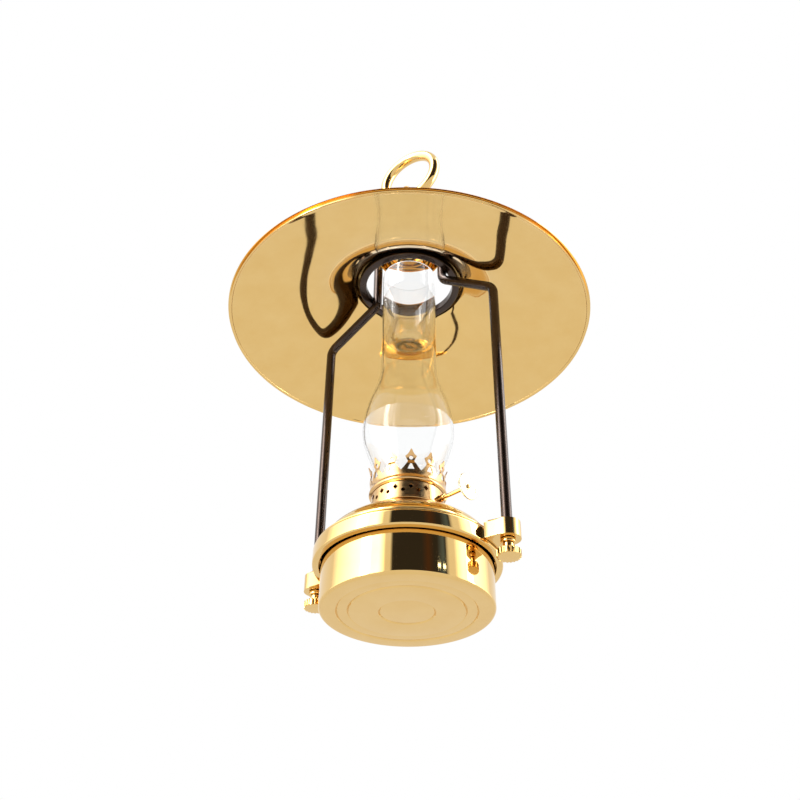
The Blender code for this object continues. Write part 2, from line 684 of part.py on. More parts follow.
def make_winder(brass, pale_brass):
    place = winder_frame()
    inner_end = -7.5 * MM
    outer_end = KNOB_DISTANCE - KNOB_THICKNESS / 2 - GAP
    shoulder = KNOB_DISTANCE + KNOB_THICKNESS / 2
    spindle = [(0, inner_end), (SPINDLE_RADIUS, inner_end)]
    for x in sprocket_places():
        spindle += [(SPINDLE_RADIUS, x - 0.6 * MM), (SPROCKET_RADIUS, x - 0.6 * MM),
                    (SPROCKET_RADIUS, x + 0.6 * MM), (SPINDLE_RADIUS, x + 0.6 * MM)]
    pin = 0.7 * MM
    spindle += [(SPINDLE_RADIUS, outer_end), (pin, outer_end), (pin, shoulder + GAP),
                (1.6 * MM, shoulder + GAP), (1.2 * MM, shoulder + 0.9 * MM), (0, shoulder + 1.1 * MM)]
    lay_down = Matrix.Rotation(math.radians(90), 4, "Y")
    spindle = revolve("wick_spindle", spindle, brass, SMALL)
    spindle.data.transform(lay_down)
    spindle.matrix_world = place

    half = KNOB_THICKNESS / 2
    bore = pin + GAP
    knob = [(bore, -half), (KNOB_RADIUS - 0.4 * MM, -half), (KNOB_RADIUS, 0), (KNOB_RADIUS - 0.4 * MM, half),
            (5 * MM, half), (4.2 * MM, half - 0.3 * MM), (bore, half - 0.3 * MM)]
    knob = revolve("wick_knob", knob, pale_brass, MEDIUM)
    knob.data.transform(lay_down)
    knob.matrix_world = place @ Matrix.Translation((KNOB_DISTANCE, 0, 0))

    gland_bore = SPINDLE_RADIUS + 0.1 * MM
    gland_radius = 2.1 * MM
    start, end = 19.5 * MM, 26.5 * MM
    gland = [(gland_bore, start), (gland_radius, start), (gland_radius, end - 0.4 * MM),
             (gland_radius - 0.4 * MM, end), (gland_bore, end)]
    gland = revolve("spindle_gland", gland, brass, SMALL)
    gland.data.transform(lay_down)
    gland.matrix_world = place


def cut_spindle_hole(drum):
    hole = cylinder("spindle_hole", 2.4 * MM, (15 * MM, 0, 0), (30 * MM, 0, 0))
    hole.data.transform(winder_frame())
    cut(drum, hole)


# Chimney

def make_chimney():
    top = CHIMNEY_BASE + CHIMNEY_LENGTH
    # Radius and height above the foot, in millimetres, through the bulge to the tube.
    profile = [(19.3, 0), (19.4, 9), (20.2, 15.5), (21.7, 20.5), (25.2, 30.5), (27.8, 38.5), (28.8, 46.5),
               (28.2, 56), (26.2, 66), (23.4, 75), (20.6, 84), (18.8, 93), (18.3, 103)]
    skin = [(r * MM, CHIMNEY_BASE + h * MM) for r, h in profile]
    lining = offset_outline(skin, GLASS_WALL)
    lining[0] = (skin[0][0] - GLASS_WALL, CHIMNEY_BASE)
    tube = skin[-1][0]
    outline = [*skin, (tube, top - 0.4 * MM), (tube - 0.4 * MM, top), (tube - GLASS_WALL + 0.3 * MM, top),
               (tube - GLASS_WALL, top - 0.3 * MM), *reversed(lining)]
    glass = make_material("clear_glass", (0.95, 0.97, 0.98), 0.02, 0.0, 0.35)
    revolve("chimney", outline, glass, MEDIUM)


def main():
    clear_scene()
    brass = make_material("polished_brass", BRASS, 0.15, 1.0)
    pale_brass = make_material("pale_brass", PALE_BRASS, 0.25, 1.0)
    bronze = make_material("dark_bronze", BRONZE, 0.2, 0.6)
    make_tank(brass)
    make_carrier(brass)
    make_nuts(brass)
    make_frame(bronze, brass)
    make_shade(brass)
    make_bell(brass)
    make_hanger(brass)
    drum = make_burner_body(brass)
    cut_spindle_hole(drum)
    make_air_plate(brass)
    make_gallery(brass)
    make_flame_spreader(brass)
    make_wick_tube(brass)
    make_wick()
    make_winder(brass, pale_brass)
    make_chimney()


main()
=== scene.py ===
"""Looks of a hanging oil lamp for a ship's cabin: polished brass, dark bronze rods, clear glass.

Every CAD node is replaced by a finer mesh of the same size and place. Metres, +Z up,
and the lamp's axis is the Z axis. The rods of the frame stand in the XZ plane.
"""
import json
import math

import bmesh
import bpy
from mathutils import Matrix, Vector


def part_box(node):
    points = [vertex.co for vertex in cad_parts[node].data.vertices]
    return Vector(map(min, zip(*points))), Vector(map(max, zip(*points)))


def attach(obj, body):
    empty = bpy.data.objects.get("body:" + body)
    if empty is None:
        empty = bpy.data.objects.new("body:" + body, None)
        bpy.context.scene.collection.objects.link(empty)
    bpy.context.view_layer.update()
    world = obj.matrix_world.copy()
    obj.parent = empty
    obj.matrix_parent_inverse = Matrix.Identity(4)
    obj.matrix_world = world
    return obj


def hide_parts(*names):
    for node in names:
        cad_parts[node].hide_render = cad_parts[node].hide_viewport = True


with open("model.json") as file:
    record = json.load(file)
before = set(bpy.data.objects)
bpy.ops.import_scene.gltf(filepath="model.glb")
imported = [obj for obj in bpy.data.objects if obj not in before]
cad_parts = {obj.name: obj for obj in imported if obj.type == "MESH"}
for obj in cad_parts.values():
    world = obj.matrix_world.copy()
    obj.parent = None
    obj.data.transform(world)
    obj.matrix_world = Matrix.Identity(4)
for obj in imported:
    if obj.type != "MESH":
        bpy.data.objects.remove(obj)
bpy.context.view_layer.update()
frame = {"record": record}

MM = 0.001
GAP = 0.3 * MM
BIG = 160
MEDIUM = 120
SMALL = 48
SHARP_ANGLE = math.radians(32)

BODY_OF = {}
for body, members in frame["record"]["behaviour"]["bodies"].items():
    for member in members:
        BODY_OF[member] = body


def bottom(node):
    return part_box(node)[0].z


def top(node):
    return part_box(node)[1].z


def reach(node):
    """How far a node goes from the Z axis along X."""
    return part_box(node)[1].x


# Driving sizes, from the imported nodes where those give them

TANK_RADIUS = reach("tank_cup")
TANK_WALL = 0.9 * MM
CUP_HEIGHT = top("tank_cup")
BAND_TOP = top("carrier_band")
BAND_BOTTOM = bottom("carrier_band")
BAND_RADIUS = reach("carrier_band")
ARM_OFFSET = (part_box("washer_right")[0].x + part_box("washer_right")[1].x) / 2
ROD_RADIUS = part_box("arm_right")[1].y
STUD_RADIUS = 2.0 * MM
UPRIGHT_OFFSET = 26.6 * MM
ARM_TOP_HEIGHT = top("arm_right") - ROD_RADIUS
HUB_RADIUS = reach("frame_hub")
SHADE_RADIUS = reach("shade")
BELL_RADIUS = reach("smoke_bell")
EYE_WIRE_RADIUS = 2.4 * MM
EYE_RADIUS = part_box("hanging_eye")[1].y - EYE_WIRE_RADIUS
EYE_HEIGHT = top("hanging_eye") - EYE_RADIUS - EYE_WIRE_RADIUS
HANG_WIRE_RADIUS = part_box("hanging_ring")[1].y
HANG_RING_RADIUS = reach("hanging_ring") - HANG_WIRE_RADIUS
COLLAR_TOP = top("tank_collar")
BASE_BOTTOM = top("burner_gasket") + GAP
PLUG_RADIUS = 12.8 * MM
DRUM_RADIUS = reach("burner_drum")
DRUM_BOTTOM = bottom("burner_drum")
DRUM_TOP = top("burner_drum")
DRUM_HOLES = 30
GALLERY_BOTTOM = bottom("gallery")
GALLERY_RADIUS = 23.5 * MM
GALLERY_WALL = 0.55 * MM
PRONGS = 12
PRONG_PHASE = math.radians(6.4)
PRONG_TOP = top("gallery")
WINDER_ANGLE = math.radians(-10.7)
SPINDLE_OFFSET = 3.6 * MM
SPINDLE_HEIGHT = 66.5 * MM
WICK_WIDTH = 17 * MM
WICK_THICKNESS = 2.2 * MM
CHIMNEY_BASE = bottom("chimney")
CHIMNEY_TOP = top("chimney")
GLASS_WALL = 1.3 * MM


# Outlines, as (radius, height) points

def soften(corners, closed=True):
    """Outline from (radius, height, corner radius) corners, with round corners."""
    count = len(corners)
    outline = []
    for i, (r, h, size) in enumerate(corners):
        here = Vector((r, h))
        end = not closed and i in (0, count - 1)
        if size == 0 or end:
            outline.append((r, h))
            continue
        before = Vector(corners[i - 1][:2]) - here
        after = Vector(corners[(i + 1) % count][:2]) - here
        half = before.angle(after) / 2
        if half > math.radians(88):
            outline.append((r, h))
            continue
        reach_along = min(size / math.tan(half), 0.49 * before.length, 0.49 * after.length)
        round_radius = reach_along * math.tan(half)
        back, ahead = before.normalized(), after.normalized()
        center = here + (back + ahead).normalized() * round_radius / math.sin(half)
        first = here + back * reach_along - center
        turn = first.angle_signed(here + ahead * reach_along - center)
        steps = max(3, round(math.degrees(abs(turn)) / 11))
        for k in range(steps + 1):
            angle = -turn * k / steps
            outline.append((center.x + first.x * math.cos(angle) - first.y * math.sin(angle),
                            center.y + first.x * math.sin(angle) + first.y * math.cos(angle)))
    return outline


def smooth_curve(points, per_span):
    """Catmull-Rom curve through a few points of an outline."""
    padded = [points[0], *points, points[-1]]
    curve = []
    for i in range(1, len(padded) - 2):
        p0, p1, p2, p3 = (Vector(p) for p in padded[i - 1:i + 3])
        for k in range(per_span):
            t = k / per_span
            bend = (2 * p0 - 5 * p1 + 4 * p2 - p3) * t ** 2 + (3 * p1 - p0 - 3 * p2 + p3) * t ** 3
            curve.append(tuple(0.5 * (2 * p1 + (p2 - p0) * t + bend)))
    curve.append(tuple(points[-1]))
    return curve


def offset_outline(points, distance):
    """The same outline moved sideways by a distance, to its left as it runs."""
    moved = []
    for i, point in enumerate(points):
        before = Vector(points[max(i - 1, 0)])
        after = Vector(points[min(i + 1, len(points) - 1)])
        along = (after - before).normalized()
        moved.append((point[0] - along.y * distance, point[1] + along.x * distance))
    return moved


def disc_outline(radius, low, high, edge, bore=0.0):
    """A plate or ring with rounded edges, as a closed outline."""
    corners = [(bore, low, edge if bore else 0), (radius, low, edge),
               (radius, high, edge), (bore, high, edge if bore else 0)]
    return soften(corners)


def circle_outline(center, radius, steps):
    points = []
    for k in range(steps):
        angle = 2 * math.pi * k / steps
        points.append((center[0] + radius * math.cos(angle), center[1] + radius * math.sin(angle)))
    return points


# Meshes

def finish_mesh(bm, name):
    bmesh.ops.remove_doubles(bm, verts=bm.verts, dist=1e-7)
    bmesh.ops.recalc_face_normals(bm, faces=bm.faces)
    mesh = bpy.data.meshes.new(name)
    bm.to_mesh(mesh)
    bm.free()
    obj = bpy.data.objects.new(name, mesh)
    bpy.context.scene.collection.objects.link(obj)
    mesh.shade_smooth()
    mesh.set_sharp_from_angle(angle=SHARP_ANGLE)
    return obj


def skin_rings(bm, rings, closed):
    """Faces between rings of vertices; a ring of one vertex is a pole."""
    count = len(rings)
    for i in range(count if closed else count - 1):
        lower, upper = rings[i], rings[(i + 1) % count]
        steps = max(len(lower), len(upper))
        if steps == 1:
            continue
        for k in range(steps):
            n = (k + 1) % steps
            if len(lower) == 1:
                bm.faces.new((lower[0], upper[k], upper[n]))
            elif len(upper) == 1:
                bm.faces.new((lower[k], upper[0], lower[n]))
            else:
                bm.faces.new((lower[k], upper[k], upper[n], lower[n]))


def lathe(name, outline, steps=BIG, ripple=None):
    """Turn a closed outline about the Z axis. ripple(i, angle) changes ring i's radius."""
    bm = bmesh.new()
    rings = []
    for i, (radius, height) in enumerate(outline):
        if radius < 1e-9:
            rings.append([bm.verts.new((0, 0, height))])
            continue
        ring = []
        for k in range(steps):
            angle = 2 * math.pi * k / steps
            r = radius + (ripple(i, angle) if ripple else 0.0)
            ring.append(bm.verts.new((r * math.cos(angle), r * math.sin(angle), height)))
        rings.append(ring)
    skin_rings(bm, rings, closed=True)
    return finish_mesh(bm, name)


def prism(name, outline, low, high, edge=0.0):
    """Extrude a flat outline of (x, y) points, with rounded edges at both ends."""
    bm = bmesh.new()
    lower = [bm.verts.new((x, y, low)) for x, y in outline]
    upper = [bm.verts.new((x, y, high)) for x, y in outline]
    caps = [bm.faces.new(lower), bm.faces.new(upper)]
    for k in range(len(outline)):
        n = (k + 1) % len(outline)
        bm.faces.new((lower[k], lower[n], upper[n], upper[k]))
    if edge:
        rim = {e for cap in caps for e in cap.edges}
        bmesh.ops.bevel(bm, geom=list(rim), offset=edge, segments=4, profile=0.5, affect="EDGES")
    return finish_mesh(bm, name)


def sweep(name, path, radii, steps, closed=False):
    """A round tube whose rings follow a path in the XZ plane."""
    bm = bmesh.new()
    rings = []
    count = len(path)
    for i, point in enumerate(path):
        before = path[(i - 1) % count] if closed or i else path[i]
        after = path[(i + 1) % count] if closed or i < count - 1 else path[i]
        along = (after - before).normalized()
        side = Vector((0, 1, 0))
        up = along.cross(side)
        ring = []
        for k in range(steps):
            angle = 2 * math.pi * k / steps
            outwards = math.cos(angle) * side + math.sin(angle) * up
            ring.append(bm.verts.new(point + radii[i] * outwards))
        rings.append(ring)
    skin_rings(bm, rings, closed)
    if not closed:
        bm.faces.new(rings[0])
        bm.faces.new(rings[-1])
    return finish_mesh(bm, name)


def wire_ring(name, radius, wire_radius, steps, sides):
    circle = []
    for k in range(steps):
        angle = 2 * math.pi * k / steps
        circle.append(Vector((radius * math.cos(angle), 0, radius * math.sin(angle))))
    return sweep(name, circle, [wire_radius] * steps, sides, closed=True)


def moved(obj, matrix):
    obj.data.transform(matrix)
    return obj


def combine(obj, others, operation):
    """Boolean with other objects, which are used up."""
    for other in others:
        modifier = obj.modifiers.new("Combine", "BOOLEAN")
        modifier.operation = operation
        modifier.solver = "EXACT"
        modifier.object = other
    bpy.context.view_layer.update()
    graph = bpy.context.evaluated_depsgraph_get()
    mesh = bpy.data.meshes.new_from_object(obj.evaluated_get(graph))
    obj.modifiers.clear()
    obj.data = mesh
    for other in others:
        bpy.data.objects.remove(other, do_unlink=True)
    mesh.shade_smooth()
    mesh.set_sharp_from_angle(angle=SHARP_ANGLE)
    return obj


def cut(obj, *cutters):
    return combine(obj, list(cutters), "DIFFERENCE")


def joined(name, objects):
    """One object from several separate ones."""
    bm = bmesh.new()
    for obj in objects:
        bm.from_mesh(obj.data)
        bpy.data.objects.remove(obj, do_unlink=True)
    return finish_mesh(bm, name)


def rod_between(name, radius, start, end, steps=24):
    """A round bar between two points."""
    start, end = Vector(start), Vector(end)
    length = (end - start).length
    obj = lathe(name, [(0, 0), (radius, 0), (radius, length), (0, length)], steps)
    turn = Vector((0, 0, 1)).rotation_difference(end - start).to_matrix().to_4x4()
    return moved(obj, Matrix.Translation(start) @ turn)


def radial_prism(outline, radius, angle, depth=3 * MM):
    """A wedge that points outwards: outline in (distance along the wall, height)."""
    obj = prism("radial", outline, radius - depth, radius + depth)
    for vertex in obj.data.vertices:
        along, height, out = vertex.co
        turn = angle + along / radius
        vertex.co = (out * math.cos(turn), out * math.sin(turn), height)
    return obj


def stadium(length, width, steps=12):
    """Flat tube outline: straight sides with round ends, about the origin."""
    radius = width / 2
    half = length / 2 - radius
    points = []
    for side in (1, -1):
        for k in range(steps + 1):
            angle = math.radians(-90 + 180 * k / steps)
            points.append((side * (half + radius * math.cos(angle)), side * radius * math.sin(angle)))
    return points


def turned(obj, angle):
    return moved(obj, Matrix.Rotation(angle, 4, "Z"))


def winder_frame():
    """Placement whose X axis runs out along the winder's spindle."""
    turn = Matrix.Rotation(WINDER_ANGLE, 4, "Z")
    return turn @ Matrix.Translation((0, SPINDLE_OFFSET, SPINDLE_HEIGHT))


def along_winder(obj):
    """Lay a lathe piece, made about Z, down along the winder's spindle."""
    return moved(obj, winder_frame() @ Matrix.Rotation(math.radians(90), 4, "Y"))


def dress(obj, node, material):
    """Give a piece its finish, and let it stand for its CAD node."""
    obj.name = node + "_fine"
    obj.data.materials.clear()
    obj.data.materials.append(material)
    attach(obj, BODY_OF[node])
    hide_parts(node)
    return obj


# Materials

def new_material(name):
    material = bpy.data.materials.new(name)
    material.use_nodes = True
    return material, material.node_tree.nodes, material.node_tree.links


def math_node(nodes, links, operation, *values):
    node = nodes.new("ShaderNodeMath")
    node.operation = operation
    for socket, value in zip(node.inputs, values):
        if isinstance(value, float):
            socket.default_value = value
        else:
            links.new(value, socket)
    return node.outputs[0]


def noise_node(nodes, links, vector, scale, detail, roughness):
    node = nodes.new("ShaderNodeTexNoise")
    node.inputs["Scale"].default_value = scale
    node.inputs["Detail"].default_value = detail
    node.inputs["Roughness"].default_value = roughness
    links.new(vector, node.inputs["Vector"])
    return node.outputs["Fac"]


def range_node(nodes, links, value, low, high):
    """Map a 0 to 1 value to low to high."""
    node = nodes.new("ShaderNodeMapRange")
    node.inputs["To Min"].default_value = low
    node.inputs["To Max"].default_value = high
    links.new(value, node.inputs["Value"])
    return node.outputs["Result"]


def mixed_color(nodes, links, factor, first, second):
    node = nodes.new("ShaderNodeMix")
    node.data_type = "RGBA"
    node.inputs["A"].default_value = (*first, 1)
    node.inputs["B"].default_value = (*second, 1)
    links.new(factor, node.inputs["Factor"])
    return node.outputs["Result"]


def bump_node(nodes, links, height, distance, normal=None):
    node = nodes.new("ShaderNodeBump")
    node.inputs["Strength"].default_value = 1.0
    node.inputs["Distance"].default_value = distance
    links.new(height, node.inputs["Height"])
    if normal is not None:
        links.new(normal, node.inputs["Normal"])
    return node.outputs["Normal"]


def lathe_marks(nodes, links, position, pitch):
    """Noise that runs round the Z axis in fine rings, for spun and turned metal."""
    parts = nodes.new("ShaderNodeSeparateXYZ")
    links.new(position, parts.inputs[0])
    squares = [math_node(nodes, links, "MULTIPLY", side, side) for side in parts.outputs[:2]]
    radius = math_node(nodes, links, "SQRT", math_node(nodes, links, "ADD", *squares))
    ring = nodes.new("ShaderNodeCombineXYZ")
    links.new(radius, ring.inputs[0])
    links.new(parts.outputs[2], ring.inputs[1])
    return noise_node(nodes, links, ring.outputs[0], 1 / pitch, 3.0, 0.6)


def make_brass(name, color, deep, roughness, marks, wave):
    """Polished, lacquered brass: lathe marks, a slow unevenness of the sheet, faint tarnish."""
    material, nodes, links = new_material(name)
    shader = nodes["Principled BSDF"]
    shader.inputs["Metallic"].default_value = 1.0
    position = nodes.new("ShaderNodeTexCoord").outputs["Object"]
    cloud = noise_node(nodes, links, position, 55.0, 4.0, 0.6)
    links.new(mixed_color(nodes, links, range_node(nodes, links, cloud, -0.35, 1.0), color, deep),
              shader.inputs["Base Color"])
    rings = lathe_marks(nodes, links, position, 0.5 * MM)
    haze = noise_node(nodes, links, position, 210.0, 3.0, 0.55)
    polish = math_node(nodes, links, "MULTIPLY", rings, haze)
    links.new(range_node(nodes, links, polish, 0.55 * roughness, 2.4 * roughness),
              shader.inputs["Roughness"])
    slow = noise_node(nodes, links, position, 28.0, 1.0, 0.4)
    uneven = bump_node(nodes, links, slow, wave)
    links.new(bump_node(nodes, links, rings, marks, uneven), shader.inputs["Normal"])
    return material


def make_bronze():
    """Dark bronze lacquer over the rods: brown where thin, nearly black where thick."""
    material, nodes, links = new_material("dark_bronze_look")
    shader = nodes["Principled BSDF"]
    shader.inputs["Metallic"].default_value = 0.9
    shader.inputs["Coat Weight"].default_value = 0.35
    shader.inputs["Coat Roughness"].default_value = 0.12
    position = nodes.new("ShaderNodeTexCoord").outputs["Object"]
    cloud = noise_node(nodes, links, position, 90.0, 5.0, 0.65)
    links.new(mixed_color(nodes, links, cloud, (0.020, 0.012, 0.009), (0.065, 0.038, 0.025)),
              shader.inputs["Base Color"])
    links.new(range_node(nodes, links, cloud, 0.17, 0.33), shader.inputs["Roughness"])
    grain = noise_node(nodes, links, position, 900.0, 3.0, 0.6)
    links.new(bump_node(nodes, links, grain, 0.012 * MM), shader.inputs["Normal"])
    return material


def make_glass():
    """Clear blown glass with the faint unevenness of a drawn tube."""
    material, nodes, links = new_material("clear_glass_look")
    shader = nodes["Principled BSDF"]
    shader.inputs["Base Color"].default_value = (0.985, 0.99, 0.99, 1)
    shader.inputs["Transmission Weight"].default_value = 1.0
    shader.inputs["IOR"].default_value = 1.47
    position = nodes.new("ShaderNodeTexCoord").outputs["Object"]
    slow = noise_node(nodes, links, position, 30.0, 1.0, 0.4)
    links.new(bump_node(nodes, links, slow, 0.05 * MM), shader.inputs["Normal"])
    smudge = noise_node(nodes, links, position, 45.0, 4.0, 0.6)
    links.new(range_node(nodes, links, smudge, 0.0, 0.03), shader.inputs["Roughness"])
    return material


def make_cotton():
    """Flat woven wick: a fine basket of warp and weft, its colour darker where the weave lies low, as
    painted shade in the weave's hollows.
    """
    material, nodes, links = new_material("cotton_look")
    shader = nodes["Principled BSDF"]
    shader.inputs["Sheen Weight"].default_value = 0.4
    position = nodes.new("ShaderNodeTexCoord").outputs["Object"]
    waves = []
    for direction, scale in (("Z", 900.0), ("X", 1300.0)):
        wave = nodes.new("ShaderNodeTexWave")
        wave.bands_direction = direction
        wave.inputs["Scale"].default_value = scale / (2 * math.pi)
        wave.inputs["Distortion"].default_value = 0.6
        links.new(position, wave.inputs["Vector"])
        waves.append(wave.outputs["Fac"])
    weave = math_node(nodes, links, "MULTIPLY", *waves)
    fibre = noise_node(nodes, links, position, 1500.0, 4.0, 0.7)
    height = math_node(nodes, links, "ADD", weave, math_node(nodes, links, "MULTIPLY", fibre, 0.5))
    # Painted shade: the colour follows the weave's height, darker in its hollows and paler on its ridges.
    links.new(mixed_color(nodes, links, height, (0.62, 0.58, 0.50), (0.90, 0.88, 0.82)),
              shader.inputs["Base Color"])
    links.new(range_node(nodes, links, fibre, 0.8, 1.0), shader.inputs["Roughness"])
    links.new(bump_node(nodes, links, height, 0.12 * MM), shader.inputs["Normal"])
    return material


def make_cork():
    """Pressed cork gasket with dark grains."""
    material, nodes, links = new_material("cork_look")
    shader = nodes["Principled BSDF"]
    position = nodes.new("ShaderNodeTexCoord").outputs["Object"]
    grain = nodes.new("ShaderNodeTexVoronoi")
    grain.inputs["Scale"].default_value = 900.0
    links.new(position, grain.inputs["Vector"])
    speck = noise_node(nodes, links, position, 1400.0, 3.0, 0.6)
    links.new(mixed_color(nodes, links, speck, (0.08, 0.045, 0.02), (0.30, 0.19, 0.10)),
              shader.inputs["Base Color"])
    links.new(range_node(nodes, links, speck, 0.75, 0.95), shader.inputs["Roughness"])
    links.new(bump_node(nodes, links, grain.outputs["Distance"], 0.08 * MM), shader.inputs["Normal"])
    return material


BRASS_COLOR = (0.81, 0.555, 0.222)
BRASS_DEEP = (0.755, 0.485, 0.165)
spun_brass = make_brass("spun_brass_look", BRASS_COLOR, BRASS_DEEP, 0.055, 0.0012 * MM, 0.10 * MM)
turned_brass = make_brass("turned_brass_look", BRASS_COLOR, BRASS_DEEP, 0.09, 0.003 * MM, 0.04 * MM)
pressed_brass = make_brass("pressed_brass_look", (0.75, 0.48, 0.22), (0.64, 0.37, 0.14), 0.19,
                           0.004 * MM, 0.12 * MM)
pale_brass = make_brass("pale_brass_look", (0.84, 0.77, 0.56), (0.78, 0.68, 0.44), 0.30,
                        0.004 * MM, 0.03 * MM)
bronze = make_bronze()
glass = make_glass()
cotton = make_cotton()
cork = make_cork()


def brass_piece(obj, node, material=turned_brass):
    return dress(obj, node, material)


# Tank and carrier

def dome_height(radius):
    foot, rise = 36.6 * MM, 23.4 * MM
    return foot + rise * math.sqrt(1 - (radius / TANK_RADIUS) ** 2)


def make_tank():
    """Cup with ringed bottom, the dome on it, the filler collar and the burner's gasket."""
    step, slope, edge, groove = 0.5 * MM, 1.0 * MM, 0.15 * MM, 0.45 * MM
    ring_edges = (15.3 * MM, 32.9 * MM, 39.4 * MM)
    heights = (step, 0.0, step, 0.0)
    wall_inner = TANK_RADIUS - TANK_WALL
    floor_top = 1.6 * MM
    corners = [(0, step, 0)]
    for radius, inside, outside in zip(ring_edges, heights, heights[1:]):
        corners.append((radius, inside, edge))
        corners.append((radius + 0.5 * slope, step + groove, 0.1 * MM))
        corners.append((radius + slope, outside, edge))
    corners += [(TANK_RADIUS, 0, 1.9 * MM), (TANK_RADIUS, CUP_HEIGHT, 0.25 * MM),
                (wall_inner, CUP_HEIGHT, 0.25 * MM), (wall_inner, floor_top, 1.5 * MM), (0, floor_top, 0)]
    brass_piece(lathe("cup", soften(corners)), "tank_cup", spun_brass)

    hole = 15.6 * MM
    flange = 54 * MM
    radii = [TANK_RADIUS * math.cos(math.radians(4 + 2 * k)) for k in range(34)]
    skin = [(radius, dome_height(radius)) for radius in radii]
    skin.append((hole, dome_height(hole)))
    lining = offset_outline(skin, TANK_WALL)
    lining[-1] = (hole, skin[-1][1] - TANK_WALL)
    foot = [(wall_inner - 0.2 * MM, CUP_HEIGHT + GAP, 0), (flange, BAND_TOP + GAP, 0.4 * MM),
            (flange, BAND_TOP + 1.2 * MM, 0.4 * MM),
            (TANK_RADIUS + 0.6 * MM, BAND_TOP + 1.6 * MM, 0.5 * MM), (*skin[0], 0)]
    outline = [*soften(foot, closed=False), *skin[1:], *reversed(lining)]
    brass_piece(lathe("dome", outline), "tank_dome", spun_brass)

    neck, shelf, rim = hole - GAP, 17.6 * MM, PLUG_RADIUS + GAP
    low = bottom("tank_collar")
    corners = [(rim, low, 0), (neck, low, 0.2 * MM), (neck, COLLAR_TOP - MM, 0),
               (shelf, COLLAR_TOP - MM, 0.3 * MM), (shelf, COLLAR_TOP, 0.3 * MM),
               (rim, COLLAR_TOP, 0.2 * MM)]
    brass_piece(lathe("collar", soften(corners), MEDIUM), "tank_collar")

    seal = disc_outline(shelf - GAP, bottom("burner_gasket"), top("burner_gasket"), 0.15 * MM,
                        PLUG_RADIUS + 0.8 * MM)
    dress(lathe("gasket", seal, MEDIUM), "burner_gasket", cork)


def make_carrier():
    inner, ledge = 51 * MM, 50.5 * MM
    corners = [(inner, BAND_BOTTOM, 0.5 * MM), (BAND_RADIUS, BAND_BOTTOM, 1.2 * MM),
               (BAND_RADIUS, BAND_TOP, 1.5 * MM), (ledge, BAND_TOP, 0.2 * MM),
               (ledge, BAND_TOP - MM, 0.2 * MM), (inner, BAND_TOP - 1.6 * MM, 0.8 * MM)]
    brass_piece(lathe("band", soften(corners)), "carrier_band", spun_brass)
    for side, name in ((-1, "left"), (1, "right")):
        make_ear(side, name)


def make_ear(side, name):
    """Cast lug: round end about the rod, and a root that spreads along the band."""
    node = "ear_" + name
    spread = 0.12
    half_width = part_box(node)[1].y / (1.0 + spread)
    root = BAND_RADIUS + GAP
    shoulder = root + 2.2 * MM
    outline = []
    for k in range(25):
        y = half_width - 2 * half_width * k / 24
        flare = 1.0 + spread * abs(y / half_width) ** 3
        outline.append((math.sqrt(root ** 2 - (y * flare) ** 2), y * flare))
    outline.append((shoulder, -half_width))
    for k in range(33):
        angle = math.radians(-90 + 180 * k / 32)
        outline.append((ARM_OFFSET + half_width * math.cos(angle), half_width * math.sin(angle)))
    outline.append((shoulder, half_width))
    outline = [(side * x, side * y) for x, y in outline]
    ear = prism("ear", outline, bottom(node), top(node), 0.9 * MM)
    place = side * ARM_OFFSET
    hole = rod_between("hole", STUD_RADIUS + GAP, (place, 0, bottom(node) - MM),
                       (place, 0, top(node) + MM))
    brass_piece(cut(ear, hole), node)


def make_nut(side, name):
    """Thumb nut with straight flutes round its head, and a plain neck."""
    node = "thumb_nut_" + name
    low, high = bottom(node), top(node)
    head_top = 21.8 * MM
    head, neck, bore = 7 * MM, 3.1 * MM, STUD_RADIUS + GAP
    flutes, depth = 20, 0.62 * MM
    plain = [(0, low), (head - 1.5 * MM, low)]
    fluted = [(head - 0.35 * MM, low + 0.1 * MM), (head, low + 0.5 * MM),
              (head, head_top - 0.5 * MM), (head - 0.35 * MM, head_top - 0.1 * MM)]
    rest = soften([(head - 1.5 * MM, head_top, 0), (neck, head_top, 0.5 * MM), (neck, high, 0.3 * MM),
                   (bore, high, 0.2 * MM), (bore, low + 1.6 * MM, 0), (0, low + 1.6 * MM, 0)], closed=False)
    outline = [*plain, *fluted, *rest]
    first, last = len(plain), len(plain) + len(fluted)

    def ripple(i, angle):
        if not first <= i < last:
            return 0.0
        share = 0.5 - 0.5 * math.cos(flutes * angle)
        return -depth * min(1.0, 1.6 * share) ** 2

    nut = lathe("nut", outline, 12 * flutes, ripple)
    brass_piece(moved(nut, Matrix.Translation((side * ARM_OFFSET, 0, 0))), node)


def make_washer(side, name):
    node = "washer_" + name
    outline = disc_outline(4.3 * MM, bottom(node), top(node), 0.45 * MM, STUD_RADIUS + GAP)
    washer = lathe("washer", outline, SMALL)
    brass_piece(moved(washer, Matrix.Translation((side * ARM_OFFSET, 0, 0))), node)


# Frame

def fillet(corner, before, after, radius, count):
    """Arc that rounds a corner of a path."""
    back = (before - corner).normalized()
    ahead = (after - corner).normalized()
    half = back.angle(ahead) / 2
    center = corner + (back + ahead).normalized() * radius / math.sin(half)
    first = (corner + back * radius / math.tan(half) - center).normalized()
    last = (corner + ahead * radius / math.tan(half) - center).normalized()
    return [center + radius * first.slerp(last, k / count) for k in range(count + 1)]


